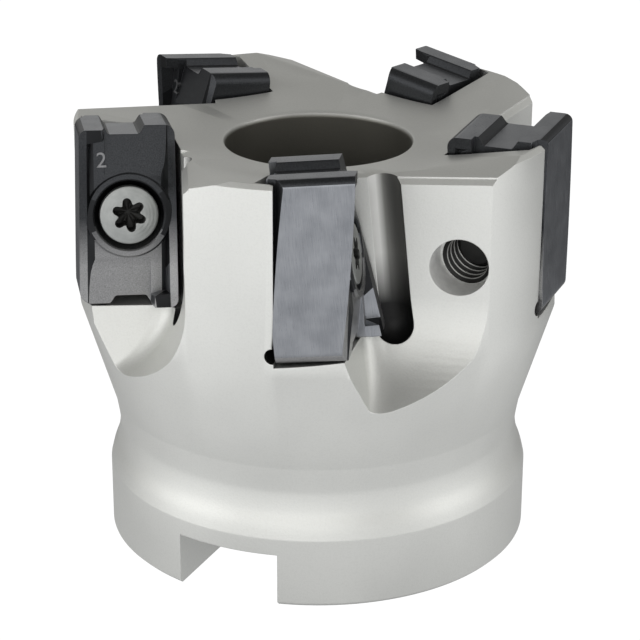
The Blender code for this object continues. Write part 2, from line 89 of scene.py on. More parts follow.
# Insert, and where it sits in its tooth.
INSERT_WIDTH = 9.3
INSERT_LENGTH = 17.4
INSERT_FLANK_RADIUS = 24.24
INSERT_FORWARD = 2.31
INSERT_CENTRE_HEIGHT = 35.25
INSERT_TILT = 6.0
INSERT_TURN = -2.4
INSERT_LEAN = -1.5
EDGE_HEIGHT = 3.2
EDGE_SLOPE = 0.171
EDGE_BOW = 0.22
FACE_HEIGHT = 3.1
BACK_HEIGHT = 4.3
LAND_WIDTH = 0.75
LAND_DROP = 0.12
GROOVE_WIDTH = 1.05
GROOVE_DROP = 0.25
FACE_INSET = 1.45
NOSE_RADIUS = 0.76
INNER_CORNER_RADIUS = 1.1
OUTER_RIDGE_WIDTH = 2.5
INNER_RIDGE_WIDTH = 3.0
CHANNEL_DEPTH = 0.8
CHANNEL_SLOPE = 0.45
END_SLOPE_START = 4.1
END_SLOPE_ANGLE = 10.0
CORNER_WIDTH = 2.5
CORNER_LENGTH = 1.1
CORNER_STEP = 0.25
RIDGE_EDGE = 0.12
CHANNEL_EDGE = 0.1
COLLAR_DIAMETER = 8.3
COLLAR_EDGE = 0.2
SQUARE_ON = 0.96  # a face is square to an axis when this share of its normal lies along it
DIGIT_SIZE = 2.1
DIGIT_BODY = 0.4
DIGIT_HEIGHT = 0.05
DIGIT_TWO_PLACE = (2.45, 5.5)
DIGIT_ONE_PLACE = (-2.7, -3.9)

# Insert screw and its socket.
SCREW_AXIS_RADIUS = 19.61
SCREW_FORWARD = 5.6
SCREW_CENTRE_HEIGHT = 35.81
SCREW_TILT = 8.6
SCREW_TURN = -2.4
SCREW_HEAD_DIAMETER = 5.7
SCREW_HEAD_SINK = 0.08
SCREW_HEAD_RIM = 0.6
SCREW_HEAD_CONE = 30.0
SCREW_SHANK_DIAMETER = 4.2
SCREW_CLEARANCE = 0.35
SCREW_LENGTH = 12.1
SCREW_TIP_BEVEL = 0.5
HEAD_ROUNDING = ((0.22, 0.0), (0.08, 0.05), (0.0, 0.2))  # inset and depth of points on the head's edge
SOCKET_RADIUS = 1.3
SOCKET_LOBE = 0.3
SOCKET_LOBE_FLATTENING = 0.05
SOCKET_LEAST_RADIUS = 0.15
SOCKET_TURN = 38.0
SOCKET_DEPTH = 1.7
SOCKET_CONE_DEPTH = 0.35
SOCKET_CONE_INSET = 1.1
SOCKET_DRAFT = 0.04
SOCKET_BEVEL = 0.13
SOCKET_BEVEL_DEPTH = 0.12

# Hole that the screw runs in, with its mouth in the insert, its exit through the body and its thread.
MOUTH_CLEARANCE = 0.5
MOUTH_BEVEL = 0.15
MOUTH_FLOOR_RISE = 0.1
HOLE_TOOL_ABOVE = 3.0
HOLE_TOOL_BELOW = 12.0
HOLE_TOOL_REACH = 30.0
EXIT_RECESS_DIAMETER = 5.45
EXIT_RECESS_START = 14.1
THREAD_PITCH = 0.8
THREAD_DEPTH = 0.35
THREAD_TURNS = 8
THREAD_STEPS = 48
THREAD_PAST_RECESS = 0.2
THREAD_SINK = 0.04
THREAD_ROOT_WIDTH = 0.72
THREAD_CREST_WIDTH = 0.12

# Insert pocket and the slot in front of the insert's inner side.
POCKET_FRONT = 6.5
POCKET_LIP_WIDTH = 0.5
POCKET_LIP_RUN = 0.85
POCKET_LIP_DEPTH = 3.85
POCKET_LIP_SLOPE = 0.105
WALL_GROOVE_DIAMETER = 3.8
WALL_GROOVE_DEPTH = 0.71
WALL_GROOVE_FORWARD = 5.7
WALL_GROOVE_BELOW = 1.5
WALL_GROOVE_STEPS = 10
WALL_GROOVE_AZIMUTH = -24.6
RELIEF_DIAMETER = 1.5
RELIEF_RISE = 0.8
RELIEF_STEPS = 48

# Chip gullet: a flat, a curved foot and a ramp that runs out through the flare.
GULLET_ANGLE = -7.6
GULLET_FLAT_DISTANCE = 13.68
GULLET_ARC_START = 30.5
GULLET_ARC_RADIUS = 11.25
GULLET_RAMP_ANGLE = 62.0
GULLET_RAMP_DROP = 1.5
GULLET_SIDE_START = 8.0
GULLET_SIDE_HEIGHT = 26.4
GULLET_SIDE_SLOPE = 0.35
GULLET_CORNER_RADIUS = 2.0
GULLET_STEPS = 16

# Bevel on the heel of each tooth's top.
HEEL_BACK = 5.5
HEEL_INSET = 0.7
HEEL_SLOPE = 16.0
HEEL_LEAN = -0.75
HEEL_EDGE_BEVEL = 0.5

# Studio, in metres. What the mill reflects of the floor, which glows: its strength near the mill and far
# from it, with the distances between which it changes, and its share behind the mill, with the places between
# which it falls. The dimming near the mill and behind it is a painted shadow.
FLOOR_NEAR = 0.58
FLOOR_FAR = 1.06
FLOOR_NEAR_TO_FAR = (0.028, 0.085)
FLOOR_SHADOW_BEHIND = 0.12
FLOOR_FRONT_TO_BACK = (-0.015, 0.045)
FLOOR_SIZE = 3.0
FLOOR_BELOW = 0.0001
CAMERA_WHITE = 1.05
SKY_STRENGTH = 0.78
SKY_STOPS = (
    (0.0, (0.85, 0.85, 0.84)),
    (0.25, (0.62, 0.615, 0.60)),
    (1.0, (0.30, 0.295, 0.285)),
)
LIGHT_TARGET = (0.0, 0.0, 0.022)
LIGHTS = (
    ("front_soft", (-0.10, -0.75, 0.28), (0.9, 0.6), 1.8),
    ("left_soft", (-0.65, -0.25, 0.20), (0.5, 0.6), 1.7),
    ("right_soft", (0.70, -0.20, 0.25), (0.5, 0.6), 1.4),
)

# Camera, as fitted to the photograph: 222 mm from the mill, 21.7 degrees up; lens and sensor in millimetres.
CAMERA_PLACE = (0.0, -0.20645, 0.10336)
CAMERA_TARGET = (0.0, 0.0, 0.021378)
CAMERA_ROLL = 0.0024
CAMERA_LENS = 122.56
CAMERA_SENSOR = 36.0
CAMERA_SHIFT = (0.00319, -0.0011)

# Painted shade and light, in millimetres: how near a wall has to be for a gap to go dark, the heights between
# which the wall groove darkens, and how far below its middle an insert's face is palest.
PAINTED_SHADE_BLACK = (0.012, 0.012, 0.012)
GAP_SHADE_REACH = 1.0
GROOVE_SHADE_TOP = 34.0
GROOVE_SHADE_FOOT = 29.0
PAINTED_LIGHT_BELOW_MIDDLE = 5.0


# Helpers for placing and combining solids.


def rotation(degrees, axis):
    return Matrix.Rotation(math.radians(degrees), 4, axis)


def millimetres(x, y, z):
    return Vector((x, y, z)) * MM


def tooth_frame(index):
    return rotation(FIRST_TOOTH_ANGLE + index * 360.0 / TOOTH_COUNT, "Z")


def insert_place(turn):
    centre = millimetres(INSERT_FLANK_RADIUS - INSERT_WIDTH / 2, INSERT_FORWARD, INSERT_CENTRE_HEIGHT)
    tilted = Matrix.Translation(centre) @ rotation(turn, "Z") @ rotation(INSERT_TILT, "X")
    return tilted @ rotation(INSERT_LEAN, "Y")


def insert_frame():
    return insert_place(INSERT_TURN)


def wall_frame():
    """The insert's frame before it is turned: the pocket's wall runs straight forwards."""
    return insert_place(0.0)


def screw_frame():
    """Origin at the middle of the head's face, +z out of the head along the screw's axis."""
    centre = millimetres(SCREW_AXIS_RADIUS, SCREW_FORWARD, SCREW_CENTRE_HEIGHT)
    return Matrix.Translation(centre) @ rotation(SCREW_TURN, "Z") @ rotation(SCREW_TILT - 90.0, "X")


def all_teeth(local):
    return [tooth_frame(index) @ local for index in range(TOOTH_COUNT)]


def link(name, mesh):
    made = bpy.data.objects.new(name, mesh)
    bpy.context.scene.collection.objects.link(made)
    return made


def mesh_object(name, bm):
    mesh = bpy.data.meshes.new(name)
    bmesh.ops.recalc_face_normals(bm, faces=bm.faces)
    bm.to_mesh(mesh)
    bm.free()
    return link(name, mesh)


def finished(item, material):
    item.data.materials.append(material)
    return item


def combine(target, cutter, operation):
    """One Boolean; the faces that a finished cutter leaves behind take its material."""
    change = target.modifiers.new(operation.lower(), "BOOLEAN")
    change.operation = operation
    change.object = cutter
    change.solver = "EXACT"
    if cutter.data.materials:
        change.material_mode = "TRANSFER"


def settle(source, name, tools):
    """The source's evaluated mesh as a plain object; the source and its tools are removed."""
    graph = bpy.context.evaluated_depsgraph_get()
    mesh = bpy.data.meshes.new_from_object(source.evaluated_get(graph))
    mesh.name = name
    place = source.matrix_world.copy()
    for old in [source] + tools:
        bpy.data.objects.remove(old)
    made = link(name, mesh)
    made.matrix_world = place
    return made


def shade_by_angle(item, degrees):
    item.data.shade_smooth()
    item.data.set_sharp_from_angle(angle=math.radians(degrees))
    weigh = item.modifiers.new("face_weighted_normals", "WEIGHTED_NORMAL")
    weigh.keep_sharp = True
    weigh.weight = 80


def add_prism(bm, outline, low, high, frame):
    """Outline points are (x, y); the prism runs along z from low to high."""
    ring = [bm.verts.new(frame @ millimetres(x, y, low)) for x, y in outline]
    base = bm.faces.new(ring)
    grown = bmesh.ops.extrude_face_region(bm, geom=[base])
    tops = [item for item in grown["geom"] if isinstance(item, bmesh.types.BMVert)]
    shift = frame.to_3x3() @ millimetres(0.0, 0.0, high - low)
    bmesh.ops.translate(bm, verts=tops, vec=shift)


def add_cylinder(bm, diameter, low, high, frame, segments):
    middle = Matrix.Translation(millimetres(0.0, 0.0, (low + high) / 2))
    bmesh.ops.create_cone(
        bm,
        cap_ends=True,
        segments=segments,
        radius1=diameter / 2 * MM,
        radius2=diameter / 2 * MM,
        depth=(high - low) * MM,
        matrix=frame @ middle,
    )


def add_loft(bm, rings):
    """Joins rings of matching points into one closed skin with flat ends."""
    made = [[bm.verts.new(point) for point in ring] for ring in rings]
    count = len(made[0])
    for lower, upper in zip(made, made[1:]):
        for index in range(count):
            after = (index + 1) % count
            bm.faces.new((lower[index], lower[after], upper[after], upper[index]))
    bm.faces.new(made[0])
    bm.faces.new(made[-1])
    bmesh.ops.triangulate(bm, faces=bm.faces)


def turned_object(name, profile, steps):
    """Profile points are (radius, height), down the outer side; it is turned about z."""
    bm = bmesh.new()
    points = [bm.verts.new(millimetres(radius, 0.0, height)) for radius, height in profile]
    pairs = list(zip(points, points[1:]))
    if min(radius for radius, height in profile) > 0.0:
        pairs.append((points[-1], points[0]))
    for first, second in pairs:
        bm.edges.new((first, second))
    mesh = bpy.data.meshes.new(name)
    bm.to_mesh(mesh)
    bm.free()
    made = link(name, mesh)
    turn = made.modifiers.new("turn", "SCREW")
    turn.steps = steps
    turn.render_steps = steps
    turn.use_merge_vertices = True
    turn.merge_threshold = 0.00001
    return made


def arc(centre_x, centre_y, radius, start, end, count):
    points = []
    for index in range(count + 1):
        angle = math.radians(start + (end - start) * index / count)
        points.append((centre_x + radius * math.cos(angle), centre_y + radius * math.sin(angle)))
    return points


def curve_through(points, count):
    """Rounds a profile: a smooth run of points through the given ones."""
    smooth = []
    padded = [points[0]] + points + [points[-1]]
    for a, b, c, d in zip(padded, padded[1:], padded[2:], padded[3:]):
        for index in range(count):
            t = index / count
            point = []
            for i in (0, 1):
                cubic = 3 * (b[i] - c[i]) + d[i] - a[i]
                square = 2 * a[i] - 5 * b[i] + 4 * c[i] - d[i]
                point.append(b[i] + 0.5 * t * (c[i] - a[i] + t * (square + t * cubic)))
            smooth.append(tuple(point))
    smooth.append(points[-1])
    return smooth


# Cutter body.


def body_profile():
    """Half section as (radius, height): down the outside, then up the bore, the recess and the dish."""
    hub = HUB_DIAMETER / 2
    waist = WAIST_DIAMETER / 2
    crown = CROWN_DIAMETER / 2
    bore = ARBOR_BORE_DIAMETER / 2
    recess = SCREW_RECESS_DIAMETER / 2
    dish = TOP_HEIGHT - DISH_DROP
    rim = dish - (DISH_RADIUS - recess - RIM_ROUND_WIDTH) * math.tan(math.radians(DISH_ANGLE))
    web_top = rim - SCREW_RECESS_DEPTH
    web_bottom = web_top - WEB_THICKNESS
    flare = CROWN_HEIGHT - FLARE_BELOW_CROWN
    flare_radius = crown - FLARE_BELOW_CROWN * math.tan(math.radians(FLARE_ANGLE))
    # The neck is one curve through the flare, the waist and the shoulder above the hub.
    neck = curve_through(
        [
            (flare_radius, flare),
            (waist + 0.05, WAIST_HEIGHT + 1.1),
            (waist, WAIST_HEIGHT),
            (waist + 0.25, (WAIST_HEIGHT + HUB_HEIGHT) / 2 + 0.5),
            (hub - 0.3, HUB_HEIGHT + 1.2),
            (hub, HUB_HEIGHT),
        ],
        NECK_STEPS,
    )
    outside = [(crown - TOP_BEVEL, TOP_HEIGHT), (crown, TOP_HEIGHT - TOP_BEVEL), (crown, CROWN_HEIGHT)]
    outside += neck
    outside += [(hub, HUB_EDGE), (hub - HUB_EDGE, 0.0)]
    inside = [
        (bore + ARBOR_BORE_CHAMFER, 0.0),
        (bore, ARBOR_BORE_CHAMFER),
        (bore, web_bottom),
        (WEB_HOLE_DIAMETER / 2, web_bottom),
        (WEB_HOLE_DIAMETER / 2, web_top),
        (recess, web_top),
        # The rim's rounding, as shares of its width and depth.
        (recess, rim - RIM_ROUND_DEPTH),
        (recess + 0.12 * RIM_ROUND_WIDTH, rim - 0.62 * RIM_ROUND_DEPTH),
        (recess + 0.38 * RIM_ROUND_WIDTH, rim - 0.26 * RIM_ROUND_DEPTH),
        (recess + RIM_ROUND_WIDTH, rim),
        (DISH_RADIUS, dish),
    ]
    return outside + inside


def slot_cutter():
    bm = bmesh.new()
    size = Matrix.Diagonal(((HUB_DIAMETER + CUTTER_REACH) * MM, SLOT_WIDTH * MM, 2 * SLOT_DEPTH * MM, 1.0))
    bmesh.ops.create_cube(bm, size=1.0, matrix=rotation(SLOT_ANGLE, "Z") @ size)
    return mesh_object("slot_cutter", bm)


def pocket_ring(along, frame):
    """The pocket across the insert: seat, bevelled outer lip, and the wall inside the insert."""
    half = INSERT_WIDTH / 2
    turn = math.tan(math.radians(INSERT_TURN))
    inner = -half - GAP + turn * BACK_HEIGHT
    seat = -BACK_HEIGHT - GAP
    lip = POCKET_LIP_SLOPE * along - POCKET_LIP_DEPTH
    lip_end = half - POCKET_LIP_WIDTH
    seat_end = lip_end - POCKET_LIP_RUN
    outline = [
        (INSERT_WIDTH, lip),
        (lip_end, lip),
        (seat_end, seat + turn * seat_end),
        (inner, seat + turn * inner),
        (inner, POCKET_FRONT),
        (INSERT_WIDTH, POCKET_FRONT),
    ]
    return [frame @ millimetres(x, y, along) for x, y in outline]


def pocket_cutter():
    bm = bmesh.new()
    for frame in all_teeth(wall_frame()):
        floor = -INSERT_LENGTH / 2 - GAP
        add_loft(bm, [pocket_ring(along, frame) for along in (floor, INSERT_LENGTH)])
    return mesh_object("pocket_cutter", bm)


def wall_groove_cutter():
    """Round-ended groove along the pocket's wall, where a ball-nosed cutter cleared the corner."""
    bm = bmesh.new()
    radius = WALL_GROOVE_DIAMETER / 2
    across = radius - INSERT_WIDTH / 2 - GAP - WALL_GROOVE_DEPTH
    foot = -INSERT_LENGTH / 2 - WALL_GROOVE_BELOW
    levels = []
    for step in range(1, WALL_GROOVE_STEPS + 1):
        angle = math.radians(90.0 * step / WALL_GROOVE_STEPS)
        levels.append((foot + radius * (1.0 - math.cos(angle)), radius * math.sin(angle)))
    levels.append((INSERT_LENGTH, radius))
    for frame in all_teeth(wall_frame()):
        rings = []
        for along, reach in levels:
            circle = arc(across, WALL_GROOVE_FORWARD, reach, 0.0, 360.0, CYLINDER_STEPS)[:-1]
            rings.append([frame @ millimetres(x, y, along) for x, y in circle])
        add_loft(bm, rings)
    return mesh_object("wall_groove_cutter", bm)


def relief_cutter():
    """Round relief in the corner between the pocket's seat and its floor."""
    bm = bmesh.new()
    centre = millimetres(0.0, -BACK_HEIGHT - GAP, RELIEF_RISE - INSERT_LENGTH / 2)
    local = insert_frame() @ Matrix.Translation(centre) @ rotation(90.0, "Y")
    for frame in all_teeth(local):
        add_cylinder(bm, RELIEF_DIAMETER, -INSERT_WIDTH / 2, INSERT_WIDTH, frame, RELIEF_STEPS)
    return mesh_object("relief_cutter", bm)


def gullet_floor(height):
    """Distance of the gullet's floor from the spindle axis, along the flat's normal."""
    ramp = math.radians(GULLET_RAMP_ANGLE)
    below = GULLET_ARC_START - height
    if below <= 0.0:
        return GULLET_FLAT_DISTANCE
    foot = GULLET_ARC_RADIUS * math.sin(ramp)
    if below < foot:
        return GULLET_FLAT_DISTANCE + GULLET_ARC_RADIUS - math.sqrt(GULLET_ARC_RADIUS**2 - below**2)
    reach = GULLET_ARC_RADIUS * (1.0 - math.cos(ramp)) + (below - foot) * math.tan(ramp)
    return GULLET_FLAT_DISTANCE + reach


def gullet_ring(height, far, frame):
    """Level section of the gullet: x runs out along the flat's normal, y runs along the flat."""
    floor = gullet_floor(height)
    side = GULLET_SIDE_START + GULLET_SIDE_SLOPE * max(0.0, GULLET_SIDE_HEIGHT - height)
    radius = GULLET_CORNER_RADIUS
    outline = [(far, far), (floor, far)]
    outline += arc(floor + radius, side + radius, radius, 180.0, 270.0, GULLET_STEPS)
    outline.append((far, side))
    return [frame @ millimetres(x, y, height) for x, y in outline]


def gullet_cutter():
    bm = bmesh.new()
    foot = GULLET_ARC_RADIUS * math.sin(math.radians(GULLET_RAMP_ANGLE))
    heights = [GULLET_ARC_START - foot - GULLET_RAMP_DROP]
    heights += [GULLET_ARC_START - foot * step / GULLET_STEPS for step in range(GULLET_STEPS, -1, -1)]
    heights += [GULLET_SIDE_HEIGHT, TOP_HEIGHT + CUTTER_REACH]
    far = CROWN_DIAMETER / 2 + CUTTER_REACH
    for frame in all_teeth(rotation(GULLET_ANGLE, "Z")):
        add_loft(bm, [gullet_ring(height, far, frame) for height in sorted(set(heights))])
    return mesh_object("gullet_cutter", bm)


def heel_plane():
    """The plane of the heel's bevel: its z axis stands square on the bevel."""
    start = Matrix.Translation(millimetres(CROWN_DIAMETER / 2 - HEEL_INSET, -HEEL_BACK, TOP_HEIGHT))
    return start @ rotation(HEEL_SLOPE, "X") @ rotation(HEEL_LEAN, "Y")


def heel_cutter():
    """Slopes the top of each tooth down behind its insert."""
    bm = bmesh.new()
    reach = CUTTER_REACH * MM
    size = Matrix.Diagonal((3 * reach, reach, reach, 1.0))
    box = Matrix.Translation((0.0, -reach / 2, reach / 2)) @ size
    for frame in all_teeth(heel_plane() @ box):
        bmesh.ops.create_cube(bm, size=1.0, matrix=frame)
    return mesh_object("heel_cutter", bm)


def flat_edge_point(along):
    """Point of the flat's top edge in the tooth's frame, where the next tooth's heel ends."""
    flat = rotation(GULLET_ANGLE, "Z")
    point = flat @ millimetres(GULLET_FLAT_DISTANCE, along, 0.0)
    plane = rotation(360.0 / TOOTH_COUNT, "Z") @ heel_plane()
    upright = plane.to_3x3() @ Vector((0.0, 0.0, 1.0))
    away = plane.translation - point
    point.z = upright.dot(away) / upright.z
    return point


def edge_bevel_cutter():
    """Bevels the edge between each gullet's flat and the heel above it."""
    bm = bmesh.new()
    first = flat_edge_point(GULLET_SIDE_START + GULLET_CORNER_RADIUS / 2)
    last = flat_edge_point(CROWN_DIAMETER / 2)
    along = (last - first).normalized()
    outward = (rotation(GULLET_ANGLE, "Z") @ Vector((1.0, 0.0, 0.0))).normalized()
    upward = outward.cross(along).normalized()
    reach = 2 * HEEL_EDGE_BEVEL * MM
    leg = HEEL_EDGE_BEVEL * MM
    ring = [
        -leg * outward,
        reach * upward - leg * outward,
        reach * upward + reach * outward,
        reach * outward - leg * upward,
        -leg * upward,
    ]
    for frame in all_teeth(Matrix.Identity(4)):
        add_loft(bm, [[frame @ (end + offset) for offset in ring] for end in (first, last)])
    return mesh_object("edge_bevel_cutter", bm)


def thread_hole_cutter():
    bm = bmesh.new()
    hole = SCREW_SHANK_DIAMETER + 2 * SCREW_CLEARANCE
    for frame in all_teeth(screw_frame()):
        add_cylinder(bm, hole, -HOLE_TOOL_REACH, 0.0, frame, CYLINDER_STEPS)
    return mesh_object("thread_hole_cutter", bm)


def exit_recess_cutter():
    bm = bmesh.new()
    far = -HOLE_TOOL_REACH
    for frame in all_teeth(screw_frame()):
        add_cylinder(bm, EXIT_RECESS_DIAMETER, far, -EXIT_RECESS_START, frame, CYLINDER_STEPS)
    return mesh_object("exit_recess_cutter", bm)


def make_body(steel, groove_shade_steel, recess_shade_steel, lit_recess_steel):
    body = finished(turned_object("body_blank", body_profile(), TURN_STEPS), steel)
    tools = [
        heel_cutter(),
        gullet_cutter(),
        edge_bevel_cutter(),
        pocket_cutter(),
        # The groove, the relief and the screw hole take painted shade, the exit recess painted light.
        finished(wall_groove_cutter(), groove_shade_steel),
        finished(relief_cutter(), recess_shade_steel),
        finished(thread_hole_cutter(), recess_shade_steel),
        finished(exit_recess_cutter(), lit_recess_steel),
        slot_cutter(),
    ]
    for tool in tools:
        combine(body, tool, "DIFFERENCE")
    body = settle(body, "mill_body", tools)
    shade_by_angle(body, 24.0)
    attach(body, "root")
    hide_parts("cutter_body")


def make_thread(index, steel):
    """Screw thread standing in from the wall of the screw's hole."""
    radius = SCREW_SHANK_DIAMETER / 2 + SCREW_CLEARANCE
    first = -EXIT_RECESS_START - THREAD_PAST_RECESS
    root = THREAD_ROOT_WIDTH / 2
    crest = THREAD_CREST_WIDTH / 2
    section = ((THREAD_SINK, -root), (THREAD_SINK, root), (-THREAD_DEPTH, crest), (-THREAD_DEPTH, -crest))
    rings = []
    for step in range(THREAD_TURNS * THREAD_STEPS + 1):
        angle = 2 * math.pi * step / THREAD_STEPS
        height = first + THREAD_PITCH * step / THREAD_STEPS
        ring = []
        for reach, rise in section:
            r = radius + reach
            ring.append(millimetres(r * math.cos(angle), r * math.sin(angle), height + rise))
        rings.append(ring)
    bm = bmesh.new()
    add_loft(bm, rings)
    thread = finished(mesh_object("hole_thread_%d" % (index + 1), bm), steel)
    thread.matrix_world = tooth_frame(index) @ screw_frame()
    shade_by_angle(thread, 30.0)
    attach(thread, "root")


# Inserts.


def rake_side(along, face):
    """One long side of a face of the insert as (inset, height): edge, land, groove, face."""
    lead = 0.5 + along / INSERT_LENGTH
    bow = EDGE_BOW * (1.0 - (2 * along / INSERT_LENGTH) ** 2)
    edge = EDGE_HEIGHT + EDGE_SLOPE * along + bow
    land = edge - LAND_DROP * lead + (face - edge) / 3 * (1.0 - lead)
    groove = (face - GROOVE_DROP) * lead + (edge + 2 * face) / 3 * (1.0 - lead)
    if along > INSERT_LENGTH / 2 - CORNER_LENGTH - CORNER_STEP / 2:
        return [(0.0, edge), (LAND_WIDTH, land), (CORNER_WIDTH - CORNER_STEP, land), (CORNER_WIDTH, face)]
    return [(0.0, edge), (LAND_WIDTH, land), (GROOVE_WIDTH, groove), (FACE_INSET, face)]


def insert_section(along):
    """Outline of the insert across its length; the back is clipped flat so that it can seat."""
    half = INSERT_WIDTH / 2
    front = rake_side(along, FACE_HEIGHT)
    front_inner = rake_side(-along, FACE_HEIGHT)
    back_inner = [(inset, min(height, BACK_HEIGHT)) for inset, height in rake_side(along, BACK_HEIGHT)]
    back = [(inset, min(height, BACK_HEIGHT)) for inset, height in rake_side(-along, BACK_HEIGHT)]
    outline = [(half - inset, height) for inset, height in front]
    outline += [(inset - half, height) for inset, height in reversed(front_inner)]
    outline += [(inset - half, -height) for inset, height in back_inner]
    outline += [(half - inset, -height) for inset, height in reversed(back)]
    return [millimetres(x, y, along) for x, y in outline]


def insert_end():
    """One end of the insert seen along its thickness, from the outer flank inwards."""
    half = INSERT_WIDTH / 2
    end = INSERT_LENGTH / 2
    outer_step = half - OUTER_RIDGE_WIDTH
    inner_step = INNER_RIDGE_WIDTH - half
    points = arc(half - NOSE_RADIUS, end - NOSE_RADIUS, NOSE_RADIUS, 0.0, 90.0, 12)
    points += [(outer_step + RIDGE_EDGE, end), (outer_step, end - RIDGE_EDGE)]
    points += [(outer_step - CHANNEL_SLOPE + CHANNEL_EDGE, end - CHANNEL_DEPTH + CHANNEL_EDGE)]
    points += [(outer_step - CHANNEL_SLOPE - CHANNEL_EDGE, end - CHANNEL_DEPTH)]
    points += [(inner_step + CHANNEL_SLOPE + CHANNEL_EDGE, end - CHANNEL_DEPTH)]
    points += [(inner_step + CHANNEL_SLOPE - CHANNEL_EDGE, end - CHANNEL_DEPTH + CHANNEL_EDGE)]
    points += [(inner_step, end - RIDGE_EDGE), (inner_step - RIDGE_EDGE, end)]
    points += arc(INNER_CORNER_RADIUS - half, end - INNER_CORNER_RADIUS, INNER_CORNER_RADIUS, 90.0, 180.0, 12)
    return points


def end_slopes():
    """Wedges that slope both faces back to the ends, except along each cutting corner."""
    bm = bmesh.new()
    run = INSERT_LENGTH / 2
    fall = run * math.tan(math.radians(END_SLOPE_ANGLE))
    across = Matrix(((0, 0, 1, 0), (0, 1, 0, 0), (1, 0, 0, 0), (0, 0, 0, 1)))
    turns = (
        (Matrix.Identity(4), FACE_HEIGHT),
        (rotation(180.0, "Y"), FACE_HEIGHT),
        (rotation(180.0, "X"), BACK_HEIGHT),
        (rotation(180.0, "Z"), BACK_HEIGHT),
    )
    for turn, face in turns:
        above = face + CUTTER_REACH
        outline = [
            (END_SLOPE_START, face),
            (END_SLOPE_START + run, face - fall),
            (END_SLOPE_START + run, above),
            (END_SLOPE_START, above),
        ]
        add_prism(bm, outline, -INSERT_WIDTH, INSERT_WIDTH / 2 - CORNER_WIDTH, turn @ across)
    return mesh_object("end_slopes", bm)


def insert_profile():
    """The insert's outline as a prism; its second half is the first, turned half way round."""
    bm = bmesh.new()
    end = insert_end()
    outline = end + [(-x, -y) for x, y in end]
    upright = Matrix.Diagonal((1.0, -1.0, 1.0, 1.0)) @ rotation(90.0, "X")
    add_prism(bm, outline, -2 * FACE_HEIGHT, 2 * FACE_HEIGHT, upright)
    return mesh_object("insert_profile", bm)


def insert_collar(across):
    """Raised ring round the hole; across is the screw's frame seen from the insert."""
    top = SCREW_HEAD_SINK
    radius = COLLAR_DIAMETER / 2
    profile = [(0.0, top), (radius - COLLAR_EDGE, top), (radius, top - COLLAR_EDGE)]
    profile += [(radius, -FACE_HEIGHT), (0.0, -FACE_HEIGHT)]
    collar = turned_object("insert_collar", profile, SMALL_TURN_STEPS)
    collar.matrix_world = across
    return collar


def insert_hole(across):
    """Tool for the countersunk hole, with a bevelled mouth."""
    shank = SCREW_SHANK_DIAMETER / 2 + SCREW_CLEARANCE
    mouth = SCREW_HEAD_DIAMETER / 2 + MOUTH_CLEARANCE
    bottom = -SCREW_HEAD_RIM + MOUTH_FLOOR_RISE
    cone = (mouth - shank) / math.tan(math.radians(SCREW_HEAD_CONE))
    lip = SCREW_HEAD_SINK
    edge = mouth + MOUTH_BEVEL
    profile = [(0.0, HOLE_TOOL_ABOVE), (edge, HOLE_TOOL_ABOVE), (edge, lip)]
    profile += [(mouth, lip - MOUTH_BEVEL), (mouth, bottom), (shank, bottom - cone)]
    profile += [(shank, -HOLE_TOOL_BELOW), (0.0, -HOLE_TOOL_BELOW)]
    hole = turned_object("insert_hole", profile, SMALL_TURN_STEPS)
    hole.matrix_world = across
    return hole


def in_chip_groove(face):
    """Whether a face of the insert lies in the groove behind its cutting edges."""
    inset = INSERT_WIDTH / 2 - abs(face.center.x) / MM
    on_front = face.center.y > 0.0 and abs(face.normal.x) < SQUARE_ON
    return on_front and LAND_WIDTH < inset < FACE_INSET


def insert_mesh(pressed, ground, shadowed):
    """One finished insert; its outer side and its ends take the ground material."""
    bm = bmesh.new()
    pad = INSERT_LENGTH / 2 - CORNER_LENGTH
    middle = [(pad - CORNER_STEP) * step / 10 for step in range(-10, 11)]
    stations = [-INSERT_LENGTH, -pad] + middle + [pad, INSERT_LENGTH]
    add_loft(bm, [insert_section(along) for along in stations])
    blank = mesh_object("insert_blank", bm)
    across = insert_frame().inverted() @ screw_frame()
    collar = insert_collar(across)
    hole = insert_hole(across)
    profile = insert_profile()
    slopes = end_slopes()
    combine(blank, profile, "INTERSECT")
    combine(blank, slopes, "DIFFERENCE")
    combine(blank, collar, "UNION")
    combine(blank, hole, "DIFFERENCE")
    insert = settle(blank, "insert_mesh", [collar, hole, profile, slopes])
    mesh = insert.data
    bpy.data.objects.remove(insert)
    mesh.materials.clear()
    mesh.materials.append(pressed)
    mesh.materials.append(ground)
    mesh.materials.append(shadowed)
    # The inner side is ground too, but keeps the darker pressed material as painted shade.
    for face in mesh.polygons:
        face.material_index = 0
        if face.normal.x > SQUARE_ON or abs(face.normal.z) > SQUARE_ON:
            face.material_index = 1
        if in_chip_groove(face):
            face.material_index = 2
    return mesh


def add_digit(bm, digit, across, along):
    """A raised position number on the insert's face, without meaning for a maker."""
    data = bpy.data.curves.new("digit_" + digit, "FONT")
    data.body = digit
    data.size = DIGIT_SIZE * MM
    data.extrude = DIGIT_BODY / 2 * MM
    data.align_x = "CENTER"
    data.align_y = "CENTER"
    data.resolution_u = 4
    text = link("digit_" + digit, data)
    bpy.context.view_layer.update()
    graph = bpy.context.evaluated_depsgraph_get()
    mesh = bpy.data.meshes.new_from_object(text.evaluated_get(graph))
    upright = Matrix(((-1, 0, 0, 0), (0, 0, 1, 0), (0, 1, 0, 0), (0, 0, 0, 1)))
    face = FACE_HEIGHT + DIGIT_HEIGHT - DIGIT_BODY / 2
    mesh.transform(Matrix.Translation(millimetres(across, face, along)) @ upright)
    bm.from_mesh(mesh)
    bpy.data.objects.remove(text)
    bpy.data.meshes.remove(mesh)


